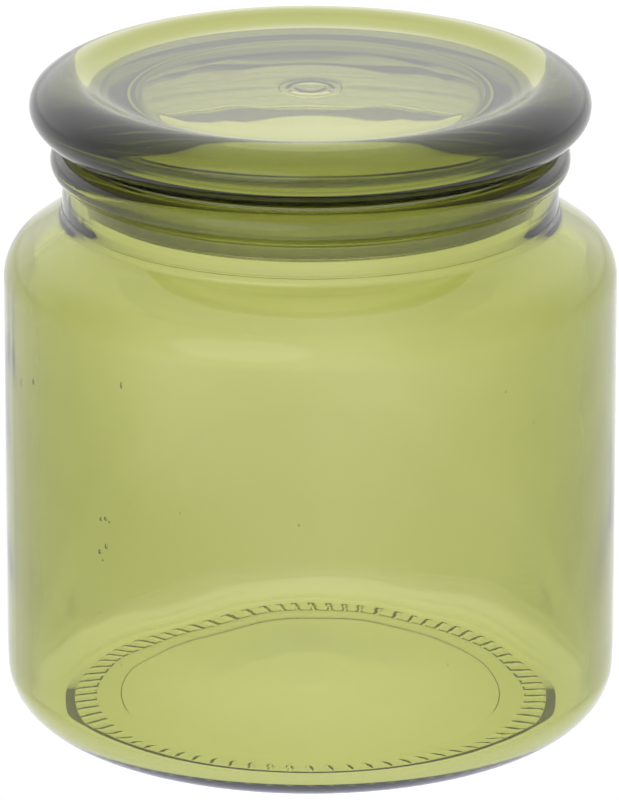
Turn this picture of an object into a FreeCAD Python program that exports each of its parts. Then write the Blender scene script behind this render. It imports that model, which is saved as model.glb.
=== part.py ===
import FreeCAD, Part
import math
import os

# Storage jar of olive green glass with a pressed glass stopper lid.
# Every piece is turned about +Z. The jar stands on the ring under its base at z = 0.
# Units are millimetres.

# Jar body
body_radius = 50.0
wall = 4.3
heel_radius = 8.1
heel_lift = 0.7
floor_height = 4.0
floor_corner = 4.0

# Ring that the jar stands on, with its grip grooves
ring_outer = 39.0
ring_bevel = 1.6
ring_inner = 35.8
ring_inner_bevel = 0.4
ring_inner_height = 0.1
groove_count = 76
groove_depth = 0.28
groove_width = 0.85
groove_outer = 38.4
groove_slant = 10.0
groove_run_out = 1.5
base_step_radius = 31.6
base_step_height = 0.2
base_step = 0.16
push_up = 0.95

# Shoulder, neck and lip
shoulder_arc = 7.8
shoulder_inner_arc = 5.8
shoulder_slope = 35.3
neck_radius = 40.3
neck_foot_height = 85.4
neck_foot_fillet = 0.9
bore_radius = 36.5
bore_foot_fillet = 7.0
lip_radius = 42.2
lip_middle_height = 94.55
lip_arc = 2.66
lip_inner_round = 1.2

# Seal ring
seal_fit = 0.06
seal_wall_radius = 36.0
seal_flange_radius = 39.0
seal_flange_thickness = 0.65
contact_gap = 0.05
band_low = 88.85
band_high = 91.15
band_chamfer = 0.3
top_fin_low = 95.0
top_fin_high = 95.7
top_fin_chamfer = 0.2

# Lid
plug_radius = 35.0
plug_fit = 0.05
plug_bottom = 88.0
plug_bead_radius = 35.6
plug_bead_height = 0.8
plug_bottom_round = 0.7
recess_mouth_radius = 31.2
recess_top_radius = 30.6
recess_fillet = 4.0
recess_ceiling = 102.5
mark_radius = 5.2
mark_depth = 0.25
lid_radius = 45.45
lid_widest_height = 103.5
lid_under_width = 7.2
lid_edge_round = 3.9
crest_radius = 38.5
crest_height = 108.5
crest_round = 4.2
dish_slope = 28.0
dish_floor = 107.0


def at(radius, height):
    """A point of an outline, which lies in the XZ plane."""
    return FreeCAD.Vector(radius, 0, height)


def line(start, end):
    return Part.LineSegment(start, end).toShape()


def arc(start, middle, end):
    return Part.Arc(start, middle, end).toShape()


def round_arc(centre, radius, from_degrees, to_degrees):
    """Arc about a centre, from one angle to another, counted from +X towards +Z."""
    def on(degrees):
        angle = math.radians(degrees)
        return centre + at(radius * math.cos(angle), radius * math.sin(angle))
    return arc(on(from_degrees), on((from_degrees + to_degrees) / 2), on(to_degrees))


def oval_corner(centre, width, height, end_round):
    """Upper right quarter of an oval as two arcs that meet smoothly, from its side to its top."""
    side_centre = centre + at(width - end_round, 0)
    top_round = (((width - end_round) ** 2 + height ** 2 - end_round ** 2)
                 / (2 * (height - end_round)))
    top_centre = centre + at(0, height - top_round)
    meeting = math.degrees(math.atan2(side_centre.z - top_centre.z, side_centre.x - top_centre.x))
    return [round_arc(side_centre, end_round, 0, meeting), round_arc(top_centre, top_round, meeting, 90)]


def flipped(edges, height):
    """The same run of arcs, mirrored in a level plane and run the other way."""
    mirror = [edge.mirror(at(0, height), FreeCAD.Vector(0, 0, 1)) for edge in edges]
    return [reverse(edge) for edge in reversed(mirror)]


def cap(radius, edge_height, middle_height):
    """Shallow arc about the Z axis, from the axis out to a radius."""
    sag = middle_height - edge_height
    round_radius = (radius ** 2 + sag ** 2) / (2 * sag)
    centre_height = middle_height - round_radius
    half = math.copysign(math.sqrt(round_radius ** 2 - (radius / 2) ** 2), round_radius)
    return arc(at(0, middle_height), at(radius / 2, centre_height + half), at(radius, edge_height))


def tips(edge):
    return edge.valueAt(edge.FirstParameter), edge.valueAt(edge.LastParameter)


def joined(edges):
    """Closes an outline: fills each gap between one edge's end and the next edge's start."""
    outline = []
    for edge, following in zip(edges, edges[1:] + edges[:1]):
        outline.append(edge)
        end = tips(edge)[1]
        start = tips(following)[0]
        if end.distanceToPoint(start) > 1e-6:
            outline.append(line(end, start))
    return outline


def turned(edges):
    """Turns a closed outline about the Z axis into one solid."""
    face = Part.Face(Part.Wire(joined(edges)))
    solid = face.revolve(FreeCAD.Vector(0, 0, 0), FreeCAD.Vector(0, 0, 1), 360)
    return solid if solid.Volume > 0 else solid.reversed()


def slope_height(radius, drop):
    """Height of the shoulder's straight slope, lowered squarely to itself by a drop."""
    slope = math.radians(shoulder_slope)
    return neck_foot_height - (radius - neck_radius) * math.tan(slope) - drop / math.cos(slope)


def shoulder(side_radius, round_radius, drop):
    """Arc that leads from an upright wall into the shoulder's slope."""
    slope = math.radians(shoulder_slope)
    turn = math.pi / 2 - slope
    corner_height = slope_height(side_radius, drop)
    start_height = corner_height - round_radius * math.tan(turn / 2)
    centre = at(side_radius - round_radius, start_height)
    return round_arc(centre, round_radius, 0, math.degrees(turn))


def slope_fillet(side_radius, round_radius, drop):
    """Hollow arc that leads from the shoulder's slope up into an upright wall inside it."""
    slope = math.radians(shoulder_slope)
    turn = math.pi / 2 - slope
    corner_height = slope_height(side_radius, drop)
    centre = at(side_radius + round_radius, corner_height + round_radius * math.tan(turn / 2))
    return round_arc(centre, round_radius, 180 + math.degrees(turn), 180)


def jar_outside():
    """From the middle of the base out, up the wall and over the lip to the bore."""
    lip_centre = at(lip_radius - lip_arc, lip_middle_height)
    foot_drop = math.degrees(math.acos((neck_radius - lip_centre.x) / lip_arc))
    lip_top = lip_middle_height + lip_arc
    dome = cap(base_step_radius, base_step_height + base_step, push_up)
    hollow = line(at(base_step_radius, base_step_height),
                  at(ring_inner - ring_inner_bevel, ring_inner_height))
    ring = line(at(ring_inner, 0), at(ring_outer, 0))
    bevel = line(at(ring_outer, 0), at(ring_outer + ring_bevel, heel_lift))
    heel_centre = at(body_radius - heel_radius, heel_radius + heel_lift)
    heel = round_arc(heel_centre, heel_radius, 270, 360)
    lip = round_arc(lip_centre, lip_arc, -foot_drop, 90)
    inner_round = round_arc(at(bore_radius + lip_inner_round, lip_top - lip_inner_round),
                            lip_inner_round, 90, 180)
    return [dome, hollow, ring, bevel, heel, shoulder(body_radius, shoulder_arc, 0),
            slope_fillet(neck_radius, neck_foot_fillet, 0), lip, inner_round]


def jar_inside():
    """From the bore down to the middle of the floor."""
    inner = body_radius - wall
    bore_foot = slope_fillet(bore_radius, bore_foot_fillet, wall)
    bend = shoulder(inner, shoulder_inner_arc, wall)
    corner_centre = at(inner - floor_corner, floor_height + floor_corner)
    corner = round_arc(corner_centre, floor_corner, 0, -90)
    return [reverse(bore_foot), reverse(bend), corner, line(tips(corner)[1], at(0, floor_height))]


def reverse(edge):
    """The same arc, run the other way."""
    start, end = tips(edge)
    middle = edge.valueAt((edge.FirstParameter + edge.LastParameter) / 2)
    return arc(end, middle, start)


def groove(turn):
    """Cutter for one slanted grip groove under the standing ring."""
    length = groove_outer - ring_inner + groove_run_out
    cutter = Part.makeBox(length, groove_width, 2 * groove_depth,
                          FreeCAD.Vector(-length, -groove_width / 2, -groove_depth))
    origin = FreeCAD.Vector(0, 0, 0)
    up = FreeCAD.Vector(0, 0, 1)
    cutter.rotate(origin, up, groove_slant)
    cutter.translate(FreeCAD.Vector(groove_outer, 0, 0))
    cutter.rotate(origin, up, turn)
    return cutter


def jar():
    glass = turned(jar_outside() + jar_inside())
    cutters = [groove(360.0 * index / groove_count) for index in range(groove_count)]
    return glass.cut(Part.makeCompound(cutters))


def seal_ring():
    """Soft ring round the plug: a flange on the lip, and a fin and a broader band in the bore."""
    inner = plug_radius + plug_fit
    fin = bore_radius - seal_fit
    flange_low = lip_middle_height + lip_arc + contact_gap
    flange_high = flange_low + seal_flange_thickness
    points = [at(inner, band_low), at(fin - band_chamfer, band_low), at(fin, band_low + band_chamfer),
              at(fin, band_high - band_chamfer), at(seal_wall_radius, band_high),
              at(seal_wall_radius, top_fin_low), at(fin, top_fin_low + top_fin_chamfer),
              at(fin, top_fin_high - top_fin_chamfer), at(seal_wall_radius, top_fin_high),
              at(seal_wall_radius, flange_low), at(seal_flange_radius, flange_low),
              at(seal_flange_radius, flange_high), at(inner, flange_high)]
    return turned([line(a, b) for a, b in zip(points, points[1:] + points[:1])])


def lid_top():
    """From the rolled rim's crest down into the shallow dish and in to the axis."""
    roll = round_arc(at(crest_radius, crest_height - crest_round), crest_round, 90, 90 + dish_slope)
    roll_end = tips(roll)[1]
    slope = math.radians(dish_slope)
    hollow_round = (roll_end.z - dish_floor) / (1 - math.cos(slope))
    hollow_centre = at(roll_end.x - hollow_round * math.sin(slope), dish_floor + hollow_round)
    hollow = round_arc(hollow_centre, hollow_round, dish_slope - 90, -90)
    return [roll, hollow, line(tips(hollow)[1], at(0, dish_floor))]


def lid():
    """Rolled rim, dished top, and a hollow plug with a sunk disc in its ceiling and a groove for the seal."""
    under = lip_middle_height + lip_arc + seal_flange_thickness + 2 * contact_gap
    bead_top = plug_bottom + plug_bead_height
    mark = recess_ceiling + mark_depth
    recess = [line(at(0, mark), at(mark_radius - mark_depth, mark)),
              line(at(mark_radius, recess_ceiling), at(recess_top_radius - recess_fillet, recess_ceiling)),
              round_arc(at(recess_top_radius - recess_fillet, recess_ceiling - recess_fillet),
                        recess_fillet, 90, 0),
              line(at(recess_top_radius, recess_ceiling - recess_fillet),
                   at(recess_mouth_radius, plug_bottom + plug_bottom_round)),
              round_arc(at(recess_mouth_radius + plug_bottom_round, plug_bottom + plug_bottom_round),
                        plug_bottom_round, 180, 270)]
    plug = [round_arc(at(plug_bead_radius - plug_bottom_round, plug_bottom + plug_bottom_round),
                      plug_bottom_round, 270, 360),
            line(at(plug_bead_radius, bead_top), at(plug_radius, bead_top)),
            line(at(plug_radius, bead_top), at(plug_radius, under))]
    rim_low = flipped(oval_corner(at(lid_radius - lid_under_width, lid_widest_height), lid_under_width,
                                  lid_widest_height - under, lid_edge_round), lid_widest_height)
    rim_high = oval_corner(at(crest_radius, lid_widest_height), lid_radius - crest_radius,
                           crest_height - lid_widest_height, lid_edge_round)
    return turned(recess + plug + rim_low + rim_high + lid_top())


os.makedirs("parts", exist_ok=True)
for name, shape in (("jar", jar()), ("seal_ring", seal_ring()), ("lid", lid())):
    shape.exportStep("parts/" + name + ".step")
    print(name, shape.isValid(), len(shape.Solids), round(shape.Volume / 1000.0, 2), "cm3",
          [round(v, 2) for v in (shape.BoundBox.XMax, shape.BoundBox.ZMin, shape.BoundBox.ZMax)])
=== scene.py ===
import math
import random

import bpy
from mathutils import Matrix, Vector, noise


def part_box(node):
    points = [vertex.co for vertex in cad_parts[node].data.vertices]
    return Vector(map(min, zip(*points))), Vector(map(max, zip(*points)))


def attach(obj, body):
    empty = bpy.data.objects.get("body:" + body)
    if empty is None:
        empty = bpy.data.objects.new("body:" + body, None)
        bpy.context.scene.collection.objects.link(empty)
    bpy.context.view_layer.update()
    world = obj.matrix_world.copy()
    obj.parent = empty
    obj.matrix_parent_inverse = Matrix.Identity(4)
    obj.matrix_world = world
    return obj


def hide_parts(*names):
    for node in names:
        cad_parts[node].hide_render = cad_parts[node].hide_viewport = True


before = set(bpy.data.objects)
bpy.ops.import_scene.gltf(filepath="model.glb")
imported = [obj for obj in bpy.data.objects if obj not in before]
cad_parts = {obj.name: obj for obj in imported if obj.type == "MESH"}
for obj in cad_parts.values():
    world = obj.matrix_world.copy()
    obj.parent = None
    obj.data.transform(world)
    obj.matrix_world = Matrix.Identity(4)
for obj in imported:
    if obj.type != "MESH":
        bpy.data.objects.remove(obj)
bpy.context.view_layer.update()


# ---- Camera -----------------------------------------------------------------------------
# The camera stands 1.3 m off with a long lens and looks down on the jar at about 19 degrees,
# so that the lid's top, the neck and the inside of the base all show.
looked_at = Vector((0, 0, 0.055))
camera_distance = 1.324
camera_elevation = math.radians(18.64)
aim_drop = 0.0022
aim_left = 0.00015

camera_data = bpy.data.cameras.new("camera")
camera_data.lens = 364.6
camera_data.sensor_width = 36
camera_data.clip_start = 0.05
camera_data.clip_end = 30
camera = bpy.data.objects.new("camera", camera_data)
bpy.context.scene.collection.objects.link(camera)
towards_camera = Vector((0, -math.cos(camera_elevation), math.sin(camera_elevation)))
camera.location = looked_at + towards_camera * camera_distance
aim = looked_at - Vector((aim_left, 0, aim_drop))
camera.rotation_euler = (aim - camera.location).to_track_quat("-Z", "Y").to_euler()
bpy.context.scene.camera = camera


# ---- Jar --------------------------------------------------------------------------------
# One piece of olive green soda-lime glass, blown in a two-part mould: walls about 4 mm
# thick, a standing ring with grip grooves pressed into it, and a fire-polished lip that
# the lid closes.

# Sizes are in millimetres. Outlines are (radius, height), from the base over the lip to the
# floor inside, and a corner's third number is its rounding.
mm = 0.001
around = 304
jar_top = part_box("jar")[1]
body_radius = jar_top.x / mm
lip_top = jar_top.z / mm
wall = 4.3
bore_radius = 36.5
neck_radius = 40.3

push_up = 0.95
base_bow = (15, 0.72, 60)
base_step_radius = 31.6
base_step_width = 0.15
base_step_low = 0.2
base_step_high = 0.3
ring_inner = 35.8
ring_inner_bevel = 0.4
ring_inner_height = 0.1
ring_middle = 37.1
grip_ring_gap = 0.15
grip_rings = 11
ring_outer = 39.0
ring_bevel = 1.6
heel_lift = 0.7
heel_round = 8.1

shoulder_slope = math.tan(math.radians(35.3))
shoulder_top = 85.4
shoulder_round = 7.8
shoulder_inner_round = 5.8
bore_foot_round = 7.0
neck_foot_round = 0.9
bead_low = 86.5
bead_high = 87.0
bead_out = 0.14
bead_slant = 0.15
neck_end = 91.5
lip_round = 2.66
lip_centre_radius = 39.54
lip_inner_round = 1.2
lip_start_degrees = -73.4
lip_flat = 0.14

floor_height = 4.0
floor_corner = 4.0
floor_seen_below = 20
fine_wall_top = 14


def arc(centre, radius, from_degrees, to_degrees, step_degrees=6):
    """Points along an arc of an outline."""
    count = max(2, math.ceil(abs(to_degrees - from_degrees) / step_degrees))
    angles = [math.radians(from_degrees + (to_degrees - from_degrees) * i / count)
              for i in range(count + 1)]
    return [(centre[0] + radius * math.cos(a), centre[1] + radius * math.sin(a)) for a in angles]


def rounded(corners, step_degrees=6):
    """The outline through corners (radius, height, rounding), with each corner rounded off."""
    points = []
    for before, corner, after in zip([None] + corners[:-1], corners, corners[1:] + [None]):
        here = Vector(corner[:2])
        if before is None or after is None or corner[2] == 0:
            points.append(tuple(here))
            continue
        back = (Vector(before[:2]) - here).normalized()
        on = (Vector(after[:2]) - here).normalized()
        half = back.angle(on) / 2
        reach = corner[2] / math.tan(half)
        centre = here + (back + on).normalized() * (corner[2] / math.sin(half))
        first = here + back * reach - centre
        last = here + on * reach - centre
        turn = math.atan2(first.cross(last), first.dot(last))
        start = math.degrees(math.atan2(first.y, first.x))
        points += arc(centre, corner[2], start, start + math.degrees(turn), step_degrees)
    return points


def spaced(points, longest):
    """The same outline with its long straight stretches divided."""
    out = [points[0]]
    for a, b in zip(points, points[1:]):
        length = math.dist(a, b)
        if length < 1e-6:
            continue
        count = max(1, math.ceil(length / longest))
        out += [(a[0] + (b[0] - a[0]) * i / count, a[1] + (b[1] - a[1]) * i / count)
                for i in range(1, count + 1)]
    return out


def shaped(name, verts, faces):
    """A new smooth object of the scene."""
    mesh = bpy.data.meshes.new(name)
    mesh.from_pydata(verts, [], faces)
    mesh.validate()
    mesh.polygons.foreach_set("use_smooth", [True] * len(mesh.polygons))
    piece = bpy.data.objects.new(name, mesh)
    bpy.context.scene.collection.objects.link(piece)
    return piece


def spun(name, outline, moved, fine=lambda radius, height: False):
    """Turns an outline that starts and ends on the axis about Z into one closed mesh.
    moved(index, x, y, z) shifts a point. Rings where fine() holds get twice the points around."""
    verts = []
    rings = []
    for index, (radius, height) in enumerate(outline):
        count = 1 if radius < 1e-6 else around * (2 if fine(radius, height) else 1)
        rings.append((len(verts), count))
        for k in range(count):
            a = 2 * math.pi * k / count
            point = (radius * math.cos(a), radius * math.sin(a), height)
            if count > 1:
                point = moved(index, *point)
            verts.append([c * mm for c in point])
    faces = []
    for (a, m), (b, n) in zip(rings, rings[1:]):
        if m == 1:
            faces += [(a, b + k, b + (k + 1) % n) for k in range(n)]
        elif n == 1:
            faces += [(a + (k + 1) % m, a + k, b) for k in range(m)]
        elif m == n:
            faces += [(a + k, b + k, b + (k + 1) % n, a + (k + 1) % m) for k in range(m)]
        elif n == 2 * m:
            for k in range(m):
                c, d, e = b + 2 * k, b + 2 * k + 1, b + (2 * k + 2) % n
                f = a + (k + 1) % m
                faces += [(a + k, c, d), (a + k, d, f), (f, d, e)]
        else:
            for k in range(n):
                c, d, e = a + 2 * k, a + 2 * k + 1, a + (2 * k + 2) % m
                f = b + (k + 1) % n
                faces += [(b + k, d, c), (b + k, f, d), (f, e, d)]
    return shaped(name, verts, [tuple(reversed(face)) for face in faces])


base = rounded([
    (0, push_up, 0), base_bow, (base_step_radius - base_step_width, base_step_high, 0.05),
    (base_step_radius, base_step_low, 0.05), (ring_inner - ring_inner_bevel, ring_inner_height, 0.2),
    (ring_inner, 0, 0.2), (ring_middle, 0, 0)])
grip = [(ring_middle + grip_ring_gap * i, 0.0) for i in range(1, grip_rings + 1)]
side = rounded([
    (ring_outer - 0.2, 0, 0), (ring_outer, 0, 0.15), (ring_outer + ring_bevel, heel_lift, 0.3),
    (body_radius, heel_lift, heel_round),
    (body_radius, shoulder_top - shoulder_slope * (body_radius - neck_radius), shoulder_round),
    (neck_radius, shoulder_top, neck_foot_round), (neck_radius, bead_low, 0.1),
    (neck_radius + bead_out, bead_low + bead_slant, 0.08),
    (neck_radius + bead_out, bead_high - bead_slant, 0.08), (neck_radius, bead_high, 0.1),
    (neck_radius, neck_end, 0)])
lip = arc((lip_centre_radius, lip_top - lip_round), lip_round, lip_start_degrees, 90)

inner = body_radius - wall
slope_top = shoulder_top - wall / math.cos(math.atan(shoulder_slope))
corner_top = floor_height + floor_corner + 0.3
inside = spaced(rounded([
    (lip_centre_radius - lip_flat, lip_top, 0), (bore_radius, lip_top, lip_inner_round),
    (bore_radius, slope_top + shoulder_slope * (neck_radius - bore_radius), bore_foot_round),
    (inner, slope_top - shoulder_slope * (inner - neck_radius), shoulder_inner_round),
    (inner, fine_wall_top, 0)]), 2.5)
inside += spaced([(inner, fine_wall_top), (inner, corner_top)], 0.4)[1:]
inside += spaced(rounded([(inner, corner_top, 0), (inner, floor_height, floor_corner),
                          (0, floor_height, 0)]), 1.5)[1:]
jar_outline = spaced(base, 1.0) + grip + spaced(side, 3.0)[1:] + lip + inside
inner_start = len(jar_outline) - len(inside)

# Grip grooves, pressed slantwise into the standing ring.
grip_count = 76
grip_depth = 0.45
grip_width = 0.85
grip_pivot = 38.4
grip_slant = math.tan(math.radians(10))
grip_fade = (38.6, 38.95)
grip_band = (35.7, 38.85)

# What blowing leaves on the glass. Each pair is where a mark fades in or out, in millimetres
# of radius, height or depth.
swell = 1.1
swell_length = 28
swell_heights = (5, 60)
swell_at_sides = 0.15
ripple = 0.05
ripple_length = 8
bore_oval = 0.35
wall_radii = (37, 43)
wall_foot = (12, 24)
settle_height = 7.8
settle_wander = 3.0
settle_length = 30
settle_layer = 40
settle_step = 0.45
settle_half_width = 1.2
settle_radii = (41, 45)
settle_far_half = (-12, 6)
floor_ripple = 0.06
floor_ripple_length = 18
floor_middle = (2, 10)
floor_edge = (41, 36)
neck_swell = 0.3
neck_swell_start = (77, 81)
neck_swell_end = (85, 87.6)
neck_swell_radii = (42, 38)
skin_ripple = 0.02
skin_ripple_length = 14
skin_radius = 40
mould_clearance = 0.09
mould_clearance_radii = (40, 44)
seam_angles = (math.radians(-165), math.radians(15))
seam_height = 0.07
seam_half_width = 0.6


def smooth(low, high, value):
    """0 at low and 1 at high, with a soft start and end."""
    t = min(max((value - low) / (high - low), 0), 1)
    return t * t * (3 - 2 * t)


def uneven(x, y, z, length):
    """Smooth noise whose swells are about a length apart, in millimetres."""
    return noise.noise(Vector((x, y, z)) / length)


def on_grip(radius, height):
    """Whether a point lies on the flat of the standing ring, where the grooves are."""
    return height < 0.05 and grip_band[0] < radius < grip_band[1]


def blown_inside(x, y, z, radius):
    """How far blowing moves a point of the inner wall outwards."""
    facing = (y / radius) ** 2
    share = swell_at_sides + (1 - swell_at_sides) * facing
    out = swell * uneven(x, y, z, swell_length) * share * smooth(*swell_heights, z)
    out += ripple * uneven(x, y, z, ripple_length)
    out -= bore_oval * math.cos(2 * math.atan2(y, x))
    out *= smooth(*wall_radii, radius) * smooth(*wall_foot, z)
    settled = settle_height + settle_wander * uneven(x, y, settle_layer, settle_length)
    below = 1 - smooth(settled - settle_half_width, settled + settle_half_width, z)
    out += settle_step * below * smooth(*settle_radii, radius) * smooth(*settle_far_half, y)
    if z > neck_swell_start[0] - 1 and radius < neck_swell_radii[0]:
        rise = smooth(*neck_swell_start, z) * (1 - smooth(*neck_swell_end, z))
        out -= neck_swell * rise * smooth(*neck_swell_radii, radius)
    return out


def blown(index, x, y, z):
    """Moves a point of the jar by the marks that blowing and the mould leave on it."""
    radius = math.hypot(x, y)
    angle = math.atan2(y, x)
    if index >= inner_start:
        if radius < floor_edge[0] and z < floor_seen_below:
            fade = smooth(*floor_middle, radius) * smooth(*floor_edge, radius)
            return (x, y, z + floor_ripple * uneven(x, y, z, floor_ripple_length) * fade)
        out = blown_inside(x, y, z, radius)
        return (x * (1 + out / radius), y * (1 + out / radius), z)
    if on_grip(radius, z):
        turned = angle - grip_slant * (radius - grip_pivot) / radius
        pitch = 2 * math.pi / grip_count
        off = (turned / pitch + 0.5) % 1 - 0.5
        across = abs(off) * pitch * radius / (grip_width / 2)
        cut = (0.5 + 0.5 * math.cos(math.pi * min(across, 1))) * (1 - smooth(*grip_fade, radius))
        return (x, y, z + grip_depth * cut)
    if radius > skin_radius:
        out = skin_ripple * uneven(x, y, z, skin_ripple_length)
        for seam in seam_angles:
            off = abs((angle - seam + math.pi) % (2 * math.pi) - math.pi) * radius
            out += seam_height * max(0, 1 - off / seam_half_width)
        out -= mould_clearance * smooth(*mould_clearance_radii, radius)
        return (x * (1 + out / radius), y * (1 + out / radius), z)
    return (x, y, z)


jar = spun("jar_glass", jar_outline, blown, on_grip)


def add_seeds(piece, seeds):
    """Adds closed air bubbles (x, y, z, radius, stretch) in millimetres to a glass mesh."""
    mesh = piece.data
    verts = [tuple(v.co) for v in mesh.vertices]
    faces = [tuple(p.vertices) for p in mesh.polygons]
    rings = 5
    sides = 10
    for x, y, z, size, stretch in seeds:
        first = len(verts)
        verts.append((x * mm, y * mm, (z + size * stretch) * mm))
        for i in range(1, rings):
            tilt = math.pi * i / rings
            for k in range(sides):
                turn = 2 * math.pi * k / sides
                verts.append(((x + size * math.sin(tilt) * math.cos(turn)) * mm,
                              (y + size * math.sin(tilt) * math.sin(turn)) * mm,
                              (z + size * stretch * math.cos(tilt)) * mm))
        verts.append((x * mm, y * mm, (z - size * stretch) * mm))
        last = len(verts) - 1
        for k in range(sides):
            n = (k + 1) % sides
            faces.append((first, first + 1 + n, first + 1 + k))
            for i in range(rings - 2):
                a = first + 1 + i * sides
                faces.append((a + k, a + n, a + sides + n, a + sides + k))
            a = first + 1 + (rings - 2) * sides
            faces.append((a + k, a + n, last))
    mesh.clear_geometry()
    mesh.from_pydata(verts, [], faces)
    mesh.polygons.foreach_set("use_smooth", [True] * len(mesh.polygons))


# Seeds are air bubbles left in the melt: a few large ones in the wall, at the front left, and
# many small ones in the wall and the floor.
seed_radius = 48.6
small_seed_radius = 48.3
small_seed_count = 26
floor_seed_height = 2.6
floor_seed_count = 10
seeds = []
for turn, height, size, stretch in [(-131.6, 45.3, 0.32, 1.1), (-130.6, 44.9, 0.22, 1),
                                    (-132.8, 45.0, 0.28, 1.2), (-131.5, 40.6, 0.3, 1.4),
                                    (-133.1, 39.4, 0.32, 1.2), (-132.4, 38.1, 0.2, 1),
                                    (-127.5, 68.5, 0.2, 3.0), (-160, 61.5, 0.35, 1.5)]:
    at = math.radians(turn)
    seeds.append((seed_radius * math.cos(at), seed_radius * math.sin(at), height, size, stretch))
chance = random.Random(7)
for _ in range(small_seed_count):
    at = chance.uniform(-math.pi, math.pi)
    seeds.append((small_seed_radius * math.cos(at), small_seed_radius * math.sin(at),
                  chance.uniform(14, 74), chance.uniform(0.08, 0.16), chance.uniform(1, 2)))
for _ in range(floor_seed_count):
    at = chance.uniform(-math.pi, math.pi)
    out_by = chance.uniform(5, 30)
    seeds.append((out_by * math.cos(at), out_by * math.sin(at), floor_seed_height,
                  chance.uniform(0.1, 0.18), 1))
add_seeds(jar, seeds)


def srgb(code):
    """A colour picked as sRGB hex, as linear light."""
    parts = [int(code[i:i + 2], 16) / 255 for i in (0, 2, 4)]
    return [c / 12.92 if c <= 0.04045 else ((c + 0.055) / 1.055) ** 2.4 for c in parts] + [1]


def cleared(owner):
    """The node tree of a material or world, emptied."""
    owner.use_nodes = True
    owner.node_tree.nodes.clear()
    return owner.node_tree


def node(tree, kind, inputs=None, **settings):
    """Adds a node. Inputs, by name or number, are values or sockets to link; settings are properties."""
    made = tree.nodes.new(kind)
    for key, value in settings.items():
        setattr(made, key, value)
    for key, value in (inputs or {}).items():
        if isinstance(value, bpy.types.NodeSocket):
            tree.links.new(value, made.inputs[key])
        else:
            made.inputs[key].default_value = value
    return made


def olive_glass(name, colour_depth):
    """Clear glass with its colour in its depth, from pale to dark as the colour depth rises."""
    material = bpy.data.materials.new(name)
    tree = cleared(material)
    surface = node(tree, "ShaderNodeBsdfPrincipled", {
        "Base Color": (1, 1, 1, 1), "Roughness": 0.0, "IOR": 1.52, "Transmission Weight": 1.0})
    depth = node(tree, "ShaderNodeVolumeAbsorption", {"Color": srgb("CCD000"), "Density": colour_depth})
    node(tree, "ShaderNodeOutputMaterial", {"Surface": surface.outputs[0], "Volume": depth.outputs[0]})
    return material


# Soda-lime glass coloured olive in the melt and blown against a smooth mould, then fire
# polished: its surface is as clear as water, and its colour comes from the depth of glass
# that light goes through, so the body is clear green and thick places are dark.
jar.data.materials.append(olive_glass("olive_soda_lime_glass", 245))
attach(jar, "jar")
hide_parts("jar")


# ---- Lid --------------------------------------------------------------------------------
# The lid is one pressing of olive green glass: a thick rolled rim, a shallow dish on top, a
# small sunk disc in the ceiling of its hollow plug, and a groove round the plug for the
# seal ring. It rests on the seal ring's flange and lifts off by hand.
lid_low, lid_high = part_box("lid")
lid_radius = lid_high.x / mm
plug_bottom = lid_low.z / mm
crest = lid_high.z / mm
crest_radius = 38.5
crest_round = 4.2
widest = 103.5
rim_start = 38.25
rim_width = 7.2
rim_round = 3.9
dish = 107.0
dish_slope = 28
dish_edge = 0.5

ceiling = 102.6
mark_middle = 2.2
mark_rise = 0.25
mark_radius = 5.2
recess_top = 30.6
recess_mouth = 31.2
recess_round = 4.0
plug_radius = 35.0
bead_radius = 35.6
bead_top = 88.8
plug_round = 0.7
lid_under = lip_top + 0.75


def oval_corner(width, height, end_round):
    """Two arcs, about (0, 0), that lead from (width, 0) to (0, height) smoothly."""
    top_round = ((width - end_round) ** 2 + height ** 2 - end_round ** 2) / (2 * (height - end_round))
    meeting = math.degrees(math.atan2(top_round - height, width - end_round))
    return (arc((width - end_round, 0), end_round, 0, meeting)
            + arc((0, height - top_round), top_round, meeting, 90)[1:])


mark = spaced([(0, ceiling + mark_rise), (mark_middle, ceiling + mark_rise)], 0.7)
recess = rounded([
    (mark_middle, ceiling + mark_rise, 0), (2.6, ceiling + 0.4, 0.2), (3.2, ceiling + 0.4, 0.3),
    (4.0, ceiling + 0.2, 0.4), (mark_radius - 0.2, ceiling + 0.2, 0.1),
    (mark_radius, ceiling + 0.1, 0.1), (14, ceiling + 0.02, 90), (22, ceiling - 0.25, 60),
    (recess_top, ceiling - 0.7, recess_round), (recess_mouth, plug_bottom, plug_round),
    (bead_radius, plug_bottom, plug_round), (bead_radius, bead_top, 0.2),
    (plug_radius, bead_top, 0.1), (plug_radius, lid_under, 0.1), (rim_start, lid_under, 0)])
rim_low = [(rim_start + x, widest - y)
           for x, y in reversed(oval_corner(rim_width, widest - lid_under, rim_round))]
rim_high = [(crest_radius + x, widest + y)
            for x, y in oval_corner(lid_radius - crest_radius, crest - widest, rim_round)]
roll = arc((crest_radius, crest - crest_round), crest_round, 90, 90 + dish_slope)
dish_tilt = math.radians(dish_slope)
hollow_radius = (roll[-1][1] - dish) / (1 - math.cos(dish_tilt))
hollow_centre = (roll[-1][0] - hollow_radius * math.sin(dish_tilt), dish + hollow_radius)
hollow = arc(hollow_centre, hollow_radius, dish_slope - 90, -90, 3)
dish_flat = [(hollow_centre[0] - dish_edge, dish), (0, dish)]
lid_outline = (spaced(mark + recess[1:], 2.5) + rim_low[1:] + rim_high[1:] + roll[1:] + hollow[1:]
               + spaced(dish_flat, 2.5))

dish_height = 104.5
dish_ripple = 0.02
dish_ripple_length = 11
plug_ripple = 0.05
plug_ripple_length = 12
press_sink = 0.03
seal_seat_radius = 34.5
seal_seat_top = 104


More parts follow.
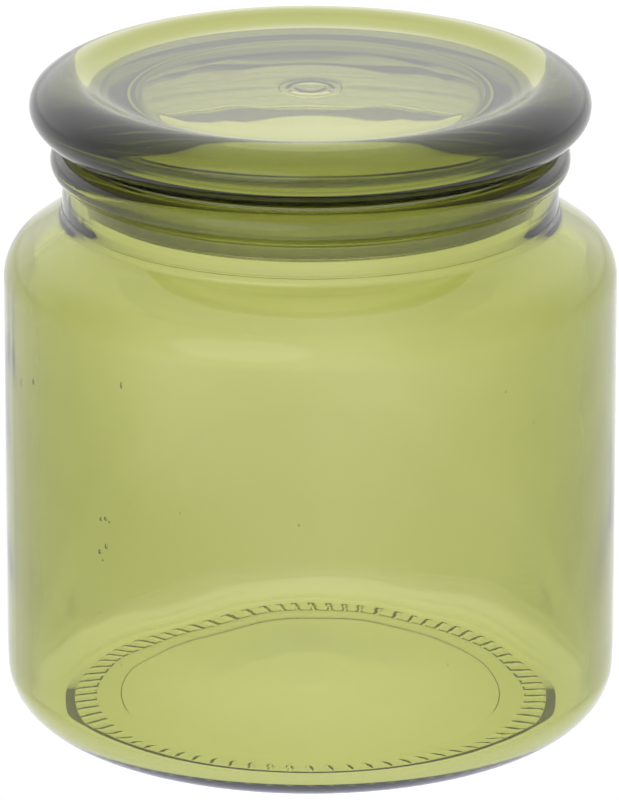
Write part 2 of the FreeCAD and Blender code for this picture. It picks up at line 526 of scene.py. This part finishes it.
def pressed(index, x, y, z):
    """Moves a point of the lid by the faint ripple that the press leaves, clear of the seal."""
    if math.hypot(x, y) > seal_seat_radius and z < seal_seat_top:
        return (x, y, z)
    if z > dish_height:
        rise = dish_ripple * uneven(x, y, z, dish_ripple_length)
    else:
        rise = plug_ripple * uneven(x, y, z, plug_ripple_length)
    return (x, y, z - press_sink + rise)


# Soda-lime glass of the same green, a little paler, pressed in a polished mould: glassy clear,
# with a slight ripple that bends what shows through it, and dark where light runs along the rim.
lid = spun("lid_glass", lid_outline, pressed)
lid.data.materials.append(olive_glass("pressed_olive_glass", 185))
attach(lid, "lid")
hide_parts("lid")


# ---- Seal ring --------------------------------------------------------------------------
# A soft ring, moulded from clear silicone and stretched into the plug's groove: a flange
# that lies on the lip, a thin fin, and a broader band that closes the neck.
fin = bore_radius - 0.06
seal_bore = 35.05
seal_wall = 36.0
flange_radius = 39.0
flange_low = lip_top + 0.05
flange_high = lip_top + 0.7
band_low = 88.85
band_high = 91.15
fin_low = 95.0
fin_high = 95.7
seal_outline = rounded([
    (seal_bore, band_low, 0), (fin, band_low, 0.3), (fin, band_high, 0.3),
    (seal_wall, band_high, 0.1), (seal_wall, fin_low, 0.1), (fin, fin_low, 0.2),
    (fin, fin_high, 0.2), (seal_wall, fin_high, 0.1),
    (seal_wall, flange_low, 0.1), (flange_radius, flange_low, 0.2),
    (flange_radius, flange_high, 0.2), (seal_bore, flange_high, 0)], 15)


def closed_ring(name, outline):
    """Turns a closed outline that doesn't meet the axis into one ring."""
    verts = [(r * mm * math.cos(2 * math.pi * k / around), r * mm * math.sin(2 * math.pi * k / around),
              z * mm) for r, z in outline for k in range(around)]
    rings = len(outline)
    faces = []
    for i in range(rings):
        here = i * around
        above = (i + 1) % rings * around
        faces += [(here + k, here + (k + 1) % around, above + (k + 1) % around, above + k)
                  for k in range(around)]
    return shaped(name, verts, faces)


# Clear silicone from a fine-textured mould: milky at its edges and slightly dull, with a grain
# that shows through the neck as a sparkle of small dots. The real grain is finer than this
# 0.6 mm, which is as fine as still shows.
grain_size = 0.625
grain_depth = 0.1
finest_step = 0.6
seal = closed_ring("seal_ring_soft", spaced(seal_outline, finest_step))
silicone = bpy.data.materials.new("clear_silicone")
tree = cleared(silicone)
place = node(tree, "ShaderNodeTexCoord")
grain = node(tree, "ShaderNodeTexNoise", {
    "Vector": place.outputs["Object"], "Scale": 1 / (grain_size * mm), "Detail": 2})
pits = node(tree, "ShaderNodeBump", {
    "Height": grain.outputs["Fac"], "Strength": 0.6, "Distance": grain_depth * mm})
soft = node(tree, "ShaderNodeBsdfPrincipled", {
    "Base Color": srgb("E6E8DC"), "Roughness": 0.25, "IOR": 1.41, "Transmission Weight": 0.9,
    "Normal": pits.outputs["Normal"]})
node(tree, "ShaderNodeOutputMaterial", {"Surface": soft.outputs[0]})
seal.data.materials.append(silicone)
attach(seal, "seal")
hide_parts("seal_ring")


# ---- Room -------------------------------------------------------------------------------
# A wide sheet of lit white paper with a painted shadow round the jar: its glow is a little brighter away
# from the jar. Under the jar a painted pool of cool light glows up through the glass.
floor_reach = 6.0
floor_drop = 0.00005
# Radii in metres over which the painted shadow round the jar fades out.
painted_shadow_inner = 0.09
painted_shadow_outer = 0.24
# Radii in metres where the painted glow under the jar fades out.
painted_glow_inner = 0.052
painted_glow_outer = 0.062
floor = shaped("floor", [(-floor_reach, -floor_reach, -floor_drop), (floor_reach, -floor_reach, -floor_drop),
                         (floor_reach, floor_reach, -floor_drop), (-floor_reach, floor_reach, -floor_drop)],
               [(0, 1, 2, 3)])
paper = bpy.data.materials.new("white_paper_with_painted_light")
tree = cleared(paper)
place = node(tree, "ShaderNodeTexCoord")
away = node(tree, "ShaderNodeVectorMath", {0: place.outputs["Object"]}, operation="LENGTH")
# Painted shadow: the paper glows dimmer near the jar, as if the jar shaded it.
painted_shadow_fade = node(tree, "ShaderNodeMapRange", {
    "Value": away.outputs["Value"], "From Min": painted_shadow_inner, "From Max": painted_shadow_outer,
    "To Min": 1.0, "To Max": 1.1}, interpolation_type="SMOOTHSTEP")
# Painted light: a cool glow on the paper under the jar, seen only through the glass.
below = node(tree, "ShaderNodeMapRange", {
    "Value": away.outputs["Value"], "From Min": painted_glow_inner, "From Max": painted_glow_outer,
    "To Min": 0.5, "To Max": 0.0}, interpolation_type="SMOOTHSTEP")
sheet_with_painted_shadow = node(tree, "ShaderNodeEmission", {"Color": srgb("FFFFFF"), "Strength": painted_shadow_fade.outputs[0]})
painted_glow = node(tree, "ShaderNodeEmission", {"Color": srgb("AAAAE7"), "Strength": below.outputs[0]})
both = node(tree, "ShaderNodeAddShader", {0: sheet_with_painted_shadow.outputs[0], 1: painted_glow.outputs[0]})
node(tree, "ShaderNodeOutputMaterial", {"Surface": both.outputs[0]})
floor.data.materials.append(paper)

# Soft even light from all round, stronger from above and behind, with a large pale window on
# the left in front that shines in the glass.
behind_gain = 0.45
window_gain = 0.8
window_way = (-0.42, -0.83, 0.36)
studio = bpy.data.worlds.new("studio")
bpy.context.scene.world = studio
tree = cleared(studio)
way = node(tree, "ShaderNodeTexCoord")
split = node(tree, "ShaderNodeSeparateXYZ", {"Vector": way.outputs["Generated"]})
behind = node(tree, "ShaderNodeMapRange", {
    "Value": split.outputs["Y"], "From Min": 0.1, "From Max": 0.7}, interpolation_type="SMOOTHSTEP")
above = node(tree, "ShaderNodeMapRange", {
    "Value": split.outputs["Z"], "From Min": 0.0, "From Max": 0.15}, interpolation_type="SMOOTHSTEP")
lit = node(tree, "ShaderNodeMath", {0: behind.outputs[0], 1: above.outputs[0]}, operation="MULTIPLY")
back = node(tree, "ShaderNodeMath", {0: lit.outputs[0], 1: behind_gain, 2: 1.0}, operation="MULTIPLY_ADD")
off_window = node(tree, "ShaderNodeVectorMath", {0: way.outputs["Generated"], 1: window_way},
                  operation="DISTANCE")
pane = node(tree, "ShaderNodeMapRange", {
    "Value": off_window.outputs["Value"], "From Min": 0.5, "From Max": 0.38, "To Min": 0.0,
    "To Max": window_gain}, interpolation_type="SMOOTHSTEP")
power = node(tree, "ShaderNodeMath", {0: back.outputs[0], 1: pane.outputs[0]}, operation="ADD")
light = node(tree, "ShaderNodeBackground", {"Color": srgb("FFFFFF"), "Strength": power.outputs[0]})
node(tree, "ShaderNodeOutputWorld", {"Surface": light.outputs[0]})

# Light crosses many glass surfaces on its way through the jar and the lid.
glass_crossings = 48
bpy.context.scene.view_settings.view_transform = "Standard"
cycles = bpy.context.scene.cycles
cycles.max_bounces = glass_crossings
cycles.transmission_bounces = glass_crossings
cycles.glossy_bounces = glass_crossings
